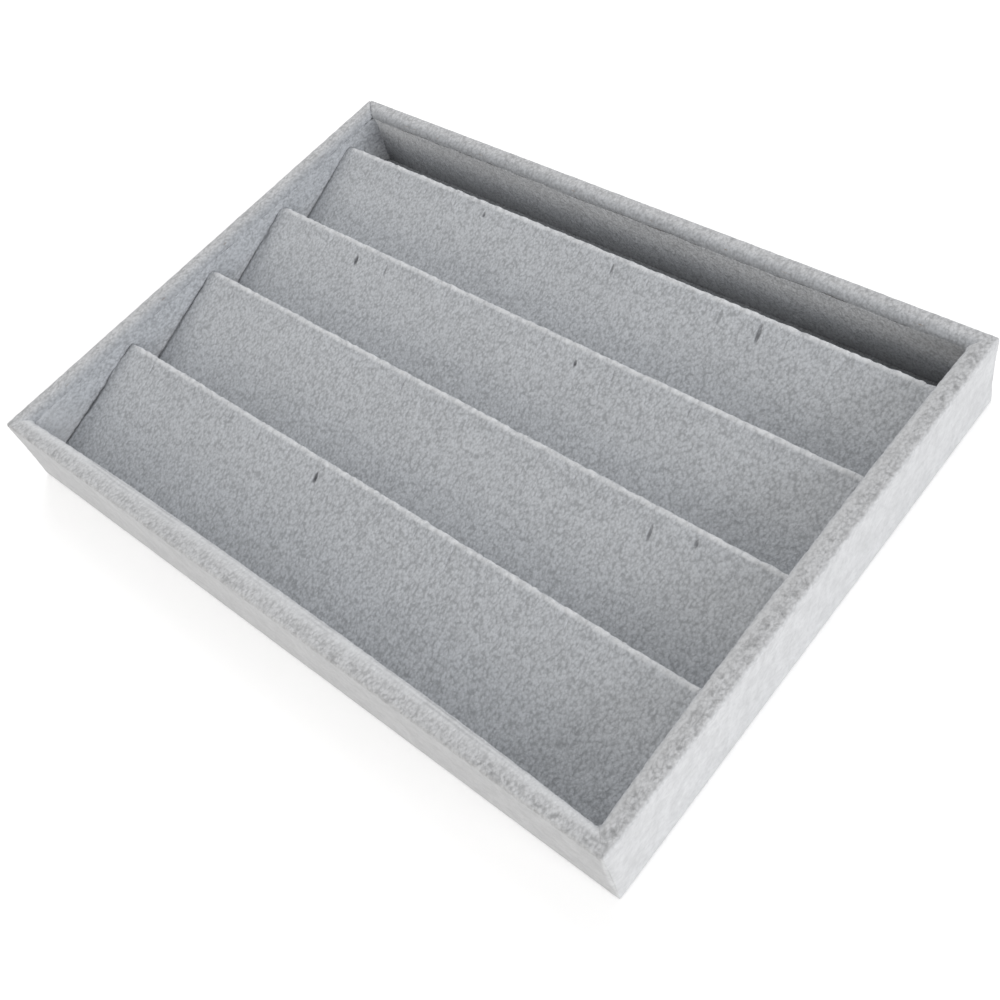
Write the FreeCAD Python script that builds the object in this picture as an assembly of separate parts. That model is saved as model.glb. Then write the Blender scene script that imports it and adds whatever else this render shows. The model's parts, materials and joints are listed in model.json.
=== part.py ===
import FreeCAD, Part
import math
import os

# A velvet display tray for jewelry, with a pleated insert that lifts out.
# Millimetres. +X runs along the tray's length, +Y from front to back, +Z up.
# The origin is at the middle of the underside.

# The tray as a whole
TRAY_LENGTH = 350.0
TRAY_DEPTH = 252.0
TRAY_HEIGHT = 38.0

# Sheet goods
VELVET_THICKNESS = 1.0
LINING_THICKNESS = 1.2
LINING_PROUD = 0.2
BASE_THICKNESS = 6.0
WALL_THICKNESS = 6.5
BOARD_THICKNESS = 2.5

# The velvet round the walls
CORNER_RADIUS = 2.2
RIM_OUTER_RADIUS = 1.8
RIM_INNER_RADIUS = 2.4
RIM_TURN_IN = 3.6
SEAM_GAP = 0.35
FLOOR_EDGE_GAP = 0.2
LINING_EDGE_GAP = 0.2

# The pleated insert
RAMP_COUNT = 4
FIRST_RAMP_EXTRA = 8.7
SECOND_RAMP_EXTRA = 3.9
BACK_TROUGH = 20.0
BACK_FLAP_DEPTH = 8.0
RIDGE_BELOW_RIM = 6.8
INSERT_END_GAP = 1.5
INSERT_FRONT_GAP = 0.6

# The slits under each ridge
SLIT_COUNT = 16
SLIT_LENGTH = 6.0
SLIT_WIDTH = 0.8
SLIT_FROM_RIDGE = 2.0

# The nails across the wall mitres
V_NAIL_HALF_SPREAD = 2.2
V_NAIL_DROP = 1.5
V_NAIL_THICKNESS = 0.6
V_NAIL_HEIGHT = 10.0

# The brads that hold the base board to the walls
BRAD_WIDTH = 1.2
BRAD_HEAD_WIDTH = 2.2
BRAD_HEAD_THICKNESS = 0.8
BRAD_LENGTH = 18.0
LONG_SIDE_BRADS = 5
SHORT_SIDE_BRADS = 3

# How far a cutting shape runs past what it cuts
OVERRUN = 1.0

# Half sizes in plan, from the outside in
OUTER_X = TRAY_LENGTH / 2
OUTER_Y = TRAY_DEPTH / 2
CORE_X = OUTER_X - VELVET_THICKNESS
CORE_Y = OUTER_Y - VELVET_THICKNESS
CORE_INNER_X = CORE_X - WALL_THICKNESS
CORE_INNER_Y = CORE_Y - WALL_THICKNESS
INNER_X = CORE_INNER_X - VELVET_THICKNESS
INNER_Y = CORE_INNER_Y - VELVET_THICKNESS

# Levels, from the ground up
WRAP_BOTTOM = LINING_PROUD
BASE_BOTTOM = LINING_THICKNESS
BASE_TOP = BASE_BOTTOM + BASE_THICKNESS
FLOOR_TOP = BASE_TOP + VELVET_THICKNESS
CORE_TOP = TRAY_HEIGHT - VELVET_THICKNESS
TURN_IN_BOTTOM = TRAY_HEIGHT - RIM_TURN_IN
LINER_TOP = TURN_IN_BOTTOM - SEAM_GAP
RIDGE_UNDERSIDE = TRAY_HEIGHT - RIDGE_BELOW_RIM - VELVET_THICKNESS - BOARD_THICKNESS

# The insert's reach inside the tray
INSERT_X = INNER_X - INSERT_END_GAP
INSERT_FRONT = -INNER_Y + INSERT_FRONT_GAP
LAST_RIDGE = INNER_Y - BACK_TROUGH
INSERT_BACK = LAST_RIDGE + BACK_FLAP_DEPTH
RAMP_RUN = (LAST_RIDGE - INSERT_FRONT - FIRST_RAMP_EXTRA - SECOND_RAMP_EXTRA) / RAMP_COUNT


def box(x, y, z):
    """A block between two limits on each axis."""
    size = (x[1] - x[0], y[1] - y[0], z[1] - z[0])
    return Part.makeBox(*size, FreeCAD.Vector(x[0], y[0], z[0]))


def middle_block(half_x, half_y, z):
    """A block centred in plan."""
    return box((-half_x, half_x), (-half_y, half_y), z)


def plan_prism(points, z):
    """An upright prism over an outline in plan."""
    corners = [FreeCAD.Vector(x, y, z[0]) for x, y in points]
    outline = Part.makePolygon(corners + corners[:1])
    return Part.Face(outline).extrude(FreeCAD.Vector(0, 0, z[1] - z[0]))


def section_prism(points, x):
    """A prism along the tray's length over an outline of (y, z) points."""
    corners = [FreeCAD.Vector(x[0], y, z) for y, z in points]
    outline = Part.makePolygon(corners + corners[:1])
    return Part.Face(outline).extrude(FreeCAD.Vector(x[1] - x[0], 0, 0))


def rounded_block(half_x, half_y, radius, z):
    """A block centred in plan, with rounded upright corners."""
    block = middle_block(half_x, half_y, z)
    upright = [e for e in block.Edges if abs(e.tangentAt(e.FirstParameter).z) > math.cos(math.pi / 4)]
    return block.makeFillet(radius, upright)


def rim_edges(ring, half_x, half_y):
    """The edges of a ring's top face that lie on or inside a plan rectangle."""
    found = []
    for edge in ring.Edges:
        limits = edge.BoundBox
        level = math.isclose(limits.ZMin, TRAY_HEIGHT) and math.isclose(limits.ZMax, TRAY_HEIGHT)
        centre = edge.CenterOfMass
        if level and abs(centre.x) <= half_x and abs(centre.y) <= half_y:
            found.append(edge)
    return found


def mitre_sectors(half_x, half_y, reach, z):
    """Four mitred bars of a rectangular ring, by wall name."""
    inner_x = half_x - reach
    inner_y = half_y - reach
    back = [(-half_x, half_y), (half_x, half_y), (inner_x, inner_y), (-inner_x, inner_y)]
    right = [(half_x, half_y), (half_x, -half_y), (inner_x, -inner_y), (inner_x, inner_y)]
    outlines = {
        "front": [(-x, -y) for x, y in back],
        "back": back,
        "left": [(-x, -y) for x, y in right],
        "right": right,
    }
    return {wall: plan_prism(points, z) for wall, points in outlines.items()}


def v_nail(side_x, side_y):
    """A V-shaped nail that straddles one mitre, flush with the walls' lower edge."""
    along = math.sqrt(0.5)
    centre_x = side_x * (CORE_X + CORE_INNER_X) / 2
    centre_y = side_y * (CORE_Y + CORE_INNER_Y) / 2
    chevron = [
        (0, V_NAIL_THICKNESS / 2),
        (V_NAIL_HALF_SPREAD, V_NAIL_THICKNESS / 2 - V_NAIL_DROP),
        (V_NAIL_HALF_SPREAD, -V_NAIL_THICKNESS / 2 - V_NAIL_DROP),
        (0, -V_NAIL_THICKNESS / 2),
        (-V_NAIL_HALF_SPREAD, -V_NAIL_THICKNESS / 2 - V_NAIL_DROP),
        (-V_NAIL_HALF_SPREAD, V_NAIL_THICKNESS / 2 - V_NAIL_DROP),
    ]
    points = []
    for across, outward in chevron:
        x = centre_x + side_x * along * (outward + across)
        y = centre_y + side_y * along * (outward - across)
        points.append((x, y))
    return plan_prism(points, (BASE_TOP, BASE_TOP + V_NAIL_HEIGHT))


def v_nails():
    """One nail at each corner."""
    return [v_nail(side_x, side_y) for side_x in (-1, 1) for side_y in (-1, 1)]


def brad(x, y, head_along_x):
    """A brad driven up through the base board, with its head flush underneath."""
    shank = BRAD_WIDTH / 2
    head = BRAD_HEAD_WIDTH / 2
    head_x = head if head_along_x else shank
    head_y = shank if head_along_x else head
    head_z = (BASE_BOTTOM, BASE_BOTTOM + BRAD_HEAD_THICKNESS)
    shank_z = (BASE_BOTTOM, BASE_BOTTOM + BRAD_LENGTH)
    pin = box((x - shank, x + shank), (y - shank, y + shank), shank_z)
    cap = box((x - head_x, x + head_x), (y - head_y, y + head_y), head_z)
    return pin.fuse(cap).removeSplitter()


def base_brads():
    """Brads spaced evenly along the middle of each wall."""
    line_x = (CORE_X + CORE_INNER_X) / 2
    line_y = (CORE_Y + CORE_INNER_Y) / 2
    brads = []
    for place in range(LONG_SIDE_BRADS):
        x = -CORE_INNER_X + 2 * CORE_INNER_X * (place + 1) / (LONG_SIDE_BRADS + 1)
        brads.extend(brad(x, side * line_y, True) for side in (-1, 1))
    for place in range(SHORT_SIDE_BRADS):
        y = -CORE_INNER_Y + 2 * CORE_INNER_Y * (place + 1) / (SHORT_SIDE_BRADS + 1)
        brads.extend(brad(side * line_x, y, False) for side in (-1, 1))
    return brads


def base_board(fasteners):
    """The thin board under the walls, bored for the brads."""
    radius = CORNER_RADIUS - VELVET_THICKNESS
    board = rounded_block(CORE_X, CORE_Y, radius, (BASE_BOTTOM, BASE_TOP))
    return board.cut(fasteners)


def wall_cores(fasteners):
    """Four mitred wall strips, with the outer corners eased under the velvet."""
    levels = (BASE_TOP, CORE_TOP)
    eased = rounded_block(CORE_X, CORE_Y, CORNER_RADIUS - VELVET_THICKNESS, levels)
    bars = mitre_sectors(CORE_X, CORE_Y, WALL_THICKNESS, levels)
    return {wall: bar.common(eased).cut(fasteners) for wall, bar in bars.items()}


def wall_wraps():
    """Velvet round each wall: turned under, up the outside, over the rim and a little way in."""
    ring = rounded_block(OUTER_X, OUTER_Y, CORNER_RADIUS, (WRAP_BOTTOM, TRAY_HEIGHT))
    ring = ring.makeFillet(RIM_OUTER_RADIUS, rim_edges(ring, OUTER_X, OUTER_Y))
    opening = middle_block(INNER_X, INNER_Y, (WRAP_BOTTOM - OVERRUN, TRAY_HEIGHT + OVERRUN))
    ring = ring.cut(opening)
    ring = ring.makeFillet(RIM_INNER_RADIUS, rim_edges(ring, INNER_X, INNER_Y))
    radius = CORNER_RADIUS - VELVET_THICKNESS
    carcass = rounded_block(CORE_X, CORE_Y, radius, (BASE_BOTTOM, CORE_TOP))
    turn_in = middle_block(CORE_INNER_X, CORE_INNER_Y, (TURN_IN_BOTTOM, CORE_TOP))
    ring = ring.cut(carcass.cut(turn_in))
    reach = OUTER_X - INNER_X
    bars = mitre_sectors(OUTER_X, OUTER_Y, reach, (0, TRAY_HEIGHT))
    return {wall: bar.common(ring) for wall, bar in bars.items()}


def wall_liners():
    """Velvet strips on the inner wall faces, their top edges just under the rim's turned-in edge."""
    levels = (BASE_TOP, LINER_TOP)
    along = (-CORE_INNER_X, CORE_INNER_X)
    between = (-INNER_Y, INNER_Y)
    return {
        "front": box(along, (-CORE_INNER_Y, -INNER_Y), levels),
        "back": box(along, (INNER_Y, CORE_INNER_Y), levels),
        "left": box((-CORE_INNER_X, -INNER_X), between, levels),
        "right": box((INNER_X, CORE_INNER_X), between, levels),
    }


def floor_velvet():
    """The velvet on the tray's floor, under the insert."""
    return middle_block(INNER_X - FLOOR_EDGE_GAP, INNER_Y - FLOOR_EDGE_GAP, (BASE_TOP, FLOOR_TOP))


def underside_lining():
    """The sheet inside the turned-under velvet, a little proud of it, that the tray stands on."""
    return middle_block(INNER_X - LINING_EDGE_GAP, INNER_Y - LINING_EDGE_GAP, (0, BASE_BOTTOM))


def ridge_place(place):
    """Where a ridge lies. The first two ramps run a little longer than the others."""
    extra = FIRST_RAMP_EXTRA if place == 0 else FIRST_RAMP_EXTRA + SECOND_RAMP_EXTRA
    return INSERT_FRONT + extra + (place + 1) * RAMP_RUN


class Ramp:
    """One sloping panel of the insert: where it starts, where its ridge is, and how steep it is."""

    def __init__(self, place):
        self.foot = INSERT_FRONT if place == 0 else ridge_place(place - 1)
        self.ridge = ridge_place(place)
        self.slope = (RIDGE_UNDERSIDE - FLOOR_TOP) / (self.ridge - self.foot)
        self.angle = math.atan(self.slope)

    def height(self, y, cover):
        """The level at y of a surface that lies a given cover above the board's underside."""
        return FLOOR_TOP + self.slope * (y - self.foot) + cover / math.cos(self.angle)

    def board(self):
        """The stiff strip inside the ramp."""
        points = [
            (self.foot, self.height(self.foot, 0)),
            (self.ridge, self.height(self.ridge, 0)),
            (self.ridge, self.height(self.ridge, BOARD_THICKNESS)),
            (self.foot, self.height(self.foot, BOARD_THICKNESS)),
        ]
        return section_prism(points, (-INSERT_X, INSERT_X))

    def riser(self):
        """The upright strip that carries the ridge."""
        front = self.ridge - BOARD_THICKNESS
        points = [
            (front, FLOOR_TOP),
            (self.ridge, FLOOR_TOP),
            (self.ridge, self.height(self.ridge, 0)),
            (front, self.height(front, 0)),
        ]
        return section_prism(points, (-INSERT_X, INSERT_X))

    def slits(self):
        """The row of slits below the ridge, cut through the board and its velvet."""
        top = SLIT_FROM_RIDGE * math.cos(self.angle)
        bottom = (SLIT_FROM_RIDGE + SLIT_LENGTH) * math.cos(self.angle)
        cover = BOARD_THICKNESS + VELVET_THICKNESS + OVERRUN
        outline = []
        for y, depth in ((top, -OVERRUN), (top, cover), (bottom, cover), (bottom, -OVERRUN)):
            shift = depth * math.sin(self.angle)
            place = self.ridge - y
            outline.append((place - shift, self.height(place - shift, depth)))
        pitch = 2 * INSERT_X / (SLIT_COUNT + 1)
        cuts = []
        for place in range(SLIT_COUNT):
            x = -INSERT_X + pitch * (place + 1)
            cuts.append(section_prism(outline, (x - SLIT_WIDTH / 2, x + SLIT_WIDTH / 2)))
        return cuts


def insert_velvet(ramps):
    """One pleated sheet over every ramp, riser and the back flap, rounded over the ridges."""
    top = [FreeCAD.Vector(-INSERT_X, y, z) for y, z in velvet_start(ramps[0])]
    edges = [Part.LineSegment(top[0], top[1]).toShape()]
    last = top[1]
    for place, ramp in enumerate(ramps):
        glue = ramp.height(ramp.ridge, BOARD_THICKNESS)
        lean = ramp.angle / 2 + math.pi / 4
        crest = ridge_point(ramp, glue, math.pi / 2 + ramp.angle)
        shoulder = ridge_point(ramp, glue, lean)
        back = ridge_point(ramp, glue, 0)
        edges.append(Part.LineSegment(last, crest).toShape())
        edges.append(Part.Arc(crest, shoulder, back).toShape())
        valley = ramp.ridge + VELVET_THICKNESS
        cover = BOARD_THICKNESS + VELVET_THICKNESS
        final = place == len(ramps) - 1
        foot = FLOOR_TOP + cover if final else ramps[place + 1].height(valley, cover)
        last = FreeCAD.Vector(-INSERT_X, valley, foot)
        edges.append(Part.LineSegment(back, last).toShape())
    under = [(INSERT_BACK, last.z), (INSERT_BACK, FLOOR_TOP + BOARD_THICKNESS)]
    under.append((ramps[-1].ridge, FLOOR_TOP + BOARD_THICKNESS))
    for ramp in reversed(ramps):
        under.append((ramp.ridge, ramp.height(ramp.ridge, BOARD_THICKNESS)))
        under.append((ramp.foot, ramp.height(ramp.foot, BOARD_THICKNESS)))
    for y, z in under:
        point = FreeCAD.Vector(-INSERT_X, y, z)
        edges.append(Part.LineSegment(last, point).toShape())
        last = point
    sheet = Part.Face(Part.Wire(edges)).extrude(FreeCAD.Vector(2 * INSERT_X, 0, 0))
    return sheet.cut([slit for ramp in ramps for slit in ramp.slits()])


def velvet_start(ramp):
    """The raw front edge of the pleated sheet, bottom and top."""
    low = ramp.height(ramp.foot, BOARD_THICKNESS)
    high = ramp.height(ramp.foot, BOARD_THICKNESS + VELVET_THICKNESS)
    return (ramp.foot, low), (ramp.foot, high)


def ridge_point(ramp, glue, angle):
    """A point on the velvet's round over a ridge."""
    y = ramp.ridge + VELVET_THICKNESS * math.cos(angle)
    return FreeCAD.Vector(-INSERT_X, y, glue + VELVET_THICKNESS * math.sin(angle))


def back_flap(ramp):
    """The narrow flat strip that the insert stands on behind its last ridge."""
    return box((-INSERT_X, INSERT_X), (ramp.ridge, INSERT_BACK), (FLOOR_TOP, FLOOR_TOP + BOARD_THICKNESS))


def pieces():
    """Every piece of the tray, by name."""
    nails = v_nails()
    brads = base_brads()
    ramps = [Ramp(place) for place in range(RAMP_COUNT)]
    made = {
        "underside_lining": underside_lining(),
        "base_board": base_board(brads),
        "base_brads": Part.makeCompound(brads),
        "corner_v_nails": Part.makeCompound(nails),
        "floor_velvet": floor_velvet(),
    }
    for wall, shape in wall_cores(nails + brads).items():
        made[f"{wall}_wall_core"] = shape
    for wall, shape in wall_wraps().items():
        made[f"{wall}_wall_wrap"] = shape
    for wall, shape in wall_liners().items():
        made[f"{wall}_liner"] = shape
    for place, ramp in enumerate(ramps):
        made[f"ramp_board_{place + 1}"] = ramp.board().cut(ramp.slits())
        made[f"riser_board_{place + 1}"] = ramp.riser()
    made["back_flap_board"] = back_flap(ramps[-1])
    made["insert_velvet"] = insert_velvet(ramps)
    return made


os.makedirs("parts", exist_ok=True)
for name, shape in pieces().items():
    shape.exportStep(f"parts/{name}.step")
    print(name, len(shape.Solids), "solids", round(shape.Volume), "mm3", "valid" if shape.isValid() else "BAD")
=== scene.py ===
import json
import math

import bmesh
import bpy
import numpy as np
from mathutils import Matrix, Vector

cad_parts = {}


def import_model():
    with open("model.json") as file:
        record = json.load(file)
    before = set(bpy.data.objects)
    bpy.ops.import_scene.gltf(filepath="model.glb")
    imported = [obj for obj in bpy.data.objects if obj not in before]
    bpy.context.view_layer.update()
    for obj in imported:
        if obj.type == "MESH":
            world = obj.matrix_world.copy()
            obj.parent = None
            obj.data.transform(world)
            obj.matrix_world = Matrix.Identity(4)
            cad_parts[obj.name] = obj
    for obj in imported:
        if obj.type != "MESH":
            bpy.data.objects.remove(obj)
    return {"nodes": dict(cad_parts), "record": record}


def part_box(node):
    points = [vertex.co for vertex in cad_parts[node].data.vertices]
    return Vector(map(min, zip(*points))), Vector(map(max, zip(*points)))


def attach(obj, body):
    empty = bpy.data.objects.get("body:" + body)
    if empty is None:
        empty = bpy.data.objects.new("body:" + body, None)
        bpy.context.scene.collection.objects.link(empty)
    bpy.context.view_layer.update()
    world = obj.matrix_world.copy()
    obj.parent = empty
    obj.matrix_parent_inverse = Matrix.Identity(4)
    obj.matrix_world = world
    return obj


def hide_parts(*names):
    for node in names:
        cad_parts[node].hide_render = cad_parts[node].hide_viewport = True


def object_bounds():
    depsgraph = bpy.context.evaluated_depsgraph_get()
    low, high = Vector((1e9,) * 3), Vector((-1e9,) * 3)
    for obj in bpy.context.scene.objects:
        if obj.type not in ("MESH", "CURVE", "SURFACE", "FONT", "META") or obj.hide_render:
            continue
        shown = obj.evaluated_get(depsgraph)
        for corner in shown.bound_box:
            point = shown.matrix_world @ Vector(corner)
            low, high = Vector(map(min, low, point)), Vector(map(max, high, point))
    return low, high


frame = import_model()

# A velvet jewelry tray with a pleated insert. Metres, in the frame of the CAD model.
CAD_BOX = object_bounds()
MM = 0.001
WHITE = (1, 1, 1, 1)

WALLS = ("front", "back", "left", "right")
SIDE_WALLS = ("left", "right")
RAMPS = (1, 2, 3, 4)
NO_RAMP = 0

# Camera, at the photograph's viewing angle
CAMERA_PLACE = (0.3050, -0.1972, 0.4216)
CAMERA_TURN_DEGREES = (35.92, 12.67, 40.36)
CAMERA_LENS = 44.91
CAMERA_SENSOR = 36.0
CAMERA_NEAR = 0.01

# Floor and surround: the floor glows to the camera, less beside the tray than further away
FLOOR_SIZE = 9.0
FLOOR_DROP = 0.2 * MM
FLOOR_GLOW = (0.37, 0.55)
FLOOR_GLOW_REACH = (0.25, 0.9)
WORLD_LIGHT = 0.55
# Soft boxes: name, place, size, power and colour
LAMPS = (
    ("back_soft_box", (-1.15, 1.2, 1.7), 1.2, 14.3, (1.0, 1.0, 1.0)),
    ("right_soft_box", (4.0, -0.3, 1.0), 1.7, 92.0, (0.97, 0.98, 1.0)),
    ("front_soft_box", (-0.4, -1.9, 0.7), 1.0, 5.3, (1.0, 0.92, 0.81)),
)

# Steps of the meshes, and how many points a round or a corner has
RAMP_STEP = 2.4 * MM
SLIT_ROW_STEP = 0.8 * MM
SLIT_ROWS = 15.0 * MM
BACK_STEP = 2.0 * MM
FLOOR_STEP = 2.0 * MM
RIM_STEP = 0.45 * MM
WALL_STEP = 0.9 * MM
COLUMN_STEP = 1.0 * MM
ROUND_POINTS = 8
INNER_ROUND_POINTS = 22
CORNER_POINTS = 6

# Nap of the velvet: a soft wave, tufts and fibres
WAVE_SIZE = 24 * MM
WAVE_DEPTH = 0.08 * MM
TUFT_SIZE = 2.6 * MM
TUFT_DEPTH = 0.20 * MM
FIBRE_SIZE = 1.2 * MM
FIBRE_DEPTH = 0.14 * MM
# Numbers that scatter the cells of the noise
CELL_PRIMES = (374761393, 668265263, 2246822519)
SEED_PRIME = 3266489917
MIX_PRIME = 1274126177
MIX_SHIFTS = (13, 16)
CELL_TOP = 65535

# The walls' wraps: rounds of their section and radii of their corners
RIM_OUTER_ROUND = 1.2 * MM
RIM_INNER_ROUND = 2.5 * MM
RIM_INNER_REACH = 4.5 * MM
FOOT_ROUND = 0.5 * MM
HEM_ROUND = 0.2 * MM
OUTER_CORNER_RADIUS = 1.4 * MM
CORNER_SWELL = 1.2 * MM
CORNER_SWELL_FALL = (24.0 * MM, 36.0 * MM)
FOOT_CORNER_RADIUS = 0.8 * MM
FOOT_CORNER_RISE = (2.0 * MM, 14.0 * MM)
RIM_CORNER_RADIUS = 0.6 * MM
INNER_CORNER_RADIUS = 2.4 * MM
# Shares of the nap's height outside and on the rim, and half the width of the change at the shoulder
OUTER_NAP = 0.3
RIM_NAP = 0.75
SHOULDER_FADE = 3.0 * MM

# The mitre that stands a little open, by the signs of its corner's x and y
OPEN_MITRE_CORNER = (-1, 1)
OPEN_MITRE_DEPTH = 0.75 * MM
MITRE_WIDTH = 0.35 * MM

# How far the rim's turned-in edge bulges into the tray halfway along a wall, how much of the rim goes
# with it, the share left at its hem, and how evenly it runs towards the corners
RIM_LIP = {"front": 3.0 * MM, "right": 1.7 * MM}
RIM_LIP_REACH = 6.0 * MM
RIM_LIP_HEM_SHARE = 0.4
RIM_LIP_EVENNESS = 3

# Pressed folds along a rim's inner edge: how far from the edge each one runs
RIM_FOLDS = {"front": (0.9 * MM, 2.0 * MM)}
RIM_FOLD_DEPTH = 0.16 * MM
RIM_FOLD_WIDTH = 0.35 * MM
# How much painted shade lies in the folds' creases
RIM_FOLD_SHADE = 0.3
RIM_FOLD_SIZE = 16.0 * MM
RIM_FOLD_WANDER = 0.35 * MM
RIM_FOLD_MEAN = 0.65
RIM_FOLD_END = (15.0 * MM, 40.0 * MM)

# Painted shade: how much darker each rim gets towards its inner edge
RIM_SHADE = {"front": 0.0, "left": 0.19, "right": 0.0, "back": 0.26}
# How far from the inner edge each rim turns to the inner velvet's painted darker tone, as painted shade
TONE_FADE = {"front": 1.5 * MM, "left": 5.0 * MM, "right": 2.0 * MM, "back": 6.0 * MM}
# How mottled each rim is, where that rises past the outer shoulder, and where it fades towards the
# inner edge
RIM_MOTTLE = {"front": 0.9, "left": 0.45, "right": 1.0, "back": 0.6}
MOTTLE_RISE = {
    "front": (-1.5 * MM, 0.5 * MM),
    "left": (0.0, 1.5 * MM),
    "right": (-0.5 * MM, 2.0 * MM),
    "back": (0.0, 1.5 * MM),
}
MOTTLE_FADE = {
    "front": (2.2 * MM, 5.5 * MM),
    "left": (6.0 * MM, 7.3 * MM),
    "right": (6.0 * MM, 7.3 * MM),
    "back": (6.0 * MM, 7.3 * MM),
}
# How far each rim is painted pale along its inner edge, as painted light, and the band's distance from the
# inner edge and its width
RIM_PAINTED_LIGHT = {"front": 0.8, "left": 0.0, "right": 0.4, "back": 0.0}
RIM_PAINTED_LIGHT_PLACE = 1.6 * MM
RIM_PAINTED_LIGHT_WIDTH = 1.6 * MM

# The seam between the rim's turned-in edge and the liner
SEAM_GAP = 0.35 * MM
SEAM_DASH = 9.0 * MM
SEAM_FADE = 3.0 * MM
SEAM_WAVER = 0.5 * MM
SEAM_WAVER_SIZE = 13.0 * MM
# How far the liners' nap closes the seam: its mean and its spread, its least share, and how that falls
# away from the liners' ends
SEAM_CLOSED = {"front": (1.4, 0.6), "back": (0.3, 1.7), "left": (1.4, 0.6), "right": (1.4, 0.6)}
SEAM_CLOSED_LEAST = -0.7
SEAM_END = (8.0 * MM, 40.0 * MM)
SEAM_END_FALL = 2

# Painted shade on the liners: how much darker they are at their foot and at their top, and the height below
# which they darken
LINER_SHADE = {"front": (0.2, 0.0), "back": (0.5, 0.0), "left": (0.0, 0.09), "right": (0.2, 0.0)}
LINER_SHADE_TOP = 27.0 * MM
# How far each liner has the inner velvet's painted darker tone, at its foot and at its top; where it has
# less, it is painted lighter, as painted light
LINER_TONE = {"front": (1.0, 1.0), "back": (0.4, 0.4), "left": (0.0, 1.0), "right": (1.0, 1.0)}
# The shade on the side liners' back ends, beside the trough: how dark, how far it reaches, and how it
# lifts upward
TROUGH_SHADE = {"left": 0.48, "right": 0.6}
TROUGH_SHADE_REACH = 20.0 * MM
TROUGH_SHADE_LIFT = 0.5
TROUGH_SHADE_LEVELS = (26.0 * MM, 34.0 * MM)
# The back liner's ends: painted shade on the left one low down and painted light on it high up, and painted
# shade on the right one high up
BACK_END_SHADE = {"left": 0.36, "right": 0.24}
BACK_END_PAINTED_LIGHT = 0.33
BACK_END_REACH = {"left": 24.0 * MM, "right": 45.0 * MM, "painted_light": 55.0 * MM}
BACK_END_LEVELS = (24.0 * MM, 31.0 * MM)
# How much painted light lies on the liners at their front ends, and how far back that reaches
LINER_PAINTED_LIGHT = {"left": 0.45}
LINER_PAINTED_LIGHT_REACH = 30.0 * MM
# Painted shade: how much darker the floor's velvet is, as the trough's shade
FLOOR_SHADE = 0.45

# The fuzzy crest of each ridge
CREST_WIDTH = 0.45 * MM
CREST_SIZE = 1.5 * MM
CREST_DEPTH = 0.26 * MM
# A painted highlight along each crest: its mean and its spread
CREST_HIGHLIGHT_MEAN = 0.75
CREST_HIGHLIGHT_SPREAD = 0.5

# The insert's rounded ends and its uneven left end
CORNER_DROP = 0.6 * MM
CORNER_FADE = 4.5 * MM
END_ROUND_WIDTH = 1.6 * MM
END_ROUND_DEPTH = 0.8 * MM
END_ROUND_LEAST_SHARE = 0.15
# Painted shade on the left end where the gap beside it stands open
END_SHADE = 0.85
END_COLUMNS = (0.0, 0.15 * MM, 0.45 * MM, 0.95 * MM, 1.6 * MM)
END_FADE = 6.0 * MM
END_REACH = 1.35 * MM
END_SIZE = 5.0 * MM
END_WAVER_SHARE = 0.3
# How far open the gap beside the left end stands, by ramp: (place from foot to ridge, share)
END_GAP_SHARES = {
    1: (
        (0.0, 0.5),
        (0.3, 0.55),
        (0.45, 1.0),
        (0.6, 0.85),
        (0.72, 0.1),
        (0.82, 0.0),
        (0.9, 0.3),
        (1.0, 0.1),
    ),
    2: ((0.0, 1.0), (0.4, 0.75), (0.8, 0.45), (0.95, 0.1), (1.0, 0.0)),
    3: ((0.0, 0.75), (0.35, 0.5), (0.55, 0.3), (0.62, 0.35), (0.7, 0.85), (0.78, 0.35), (1.0, 0.05)),
    4: ((0.0, 0.85), (0.5, 0.55), (0.75, 0.3), (0.85, 0.0), (1.0, 0.0)),
}

# The slits under each ridge
SLITS = 16
NO_SLIT = -1
SLIT_LEAN_SHARE = 0.18
SLIT_LEAN_FADE = (14.0 * MM, 30.0 * MM)
SLIT_DEPTH = 0.8 * MM
SLIT_WALL = 0.6 * MM
SLIT_SKEW = 1.4
SLIT_BLUNTNESS = 0.4
SLIT_COLUMNS = (-1.3 * MM, -0.75 * MM, -0.42 * MM, 0.0, 0.42 * MM, 0.75 * MM, 1.3 * MM)
SLIT_SPAN = SLIT_COLUMNS[-1]
# A slit's width, darkness as painted shade, start below the ridge and length: a closed one, and those that
# stand open, by ramp and by place from the left
CLOSED_SLIT = (0.3, 0.12, 3.0 * MM, 5.0 * MM)
OPEN_SLITS = {
    (1, 0): (0.5, 0.25, 3.0 * MM, 5.0 * MM),
    (1, 6): (1.55, 0.85, 5.0 * MM, 5.5 * MM),
    (1, 10): (0.7, 0.22, 2.3 * MM, 9.7 * MM),
    (2, 6): (0.4, 0.25, 3.0 * MM, 5.0 * MM),
    (2, 13): (1.3, 0.55, 6.5 * MM, 7.0 * MM),
    (2, 14): (1.4, 0.5, 3.5 * MM, 3.4 * MM),
    (3, 2): (1.6, 0.8, 5.2 * MM, 5.6 * MM),
    (3, 3): (0.9, 0.34, 4.0 * MM, 5.5 * MM),
    (3, 9): (1.2, 0.75, 6.0 * MM, 3.2 * MM),
    (3, 12): (0.5, 0.25, 3.0 * MM, 5.0 * MM),
    (4, 4): (1.2, 0.65, 4.0 * MM, 3.4 * MM),
    (4, 8): (0.8, 0.5, 3.3 * MM, 5.4 * MM),
    (4, 11): (1.4, 0.35, 3.9 * MM, 6.4 * MM),
    (4, 12): (1.6, 0.6, 2.2 * MM, 9.8 * MM),
}

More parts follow.
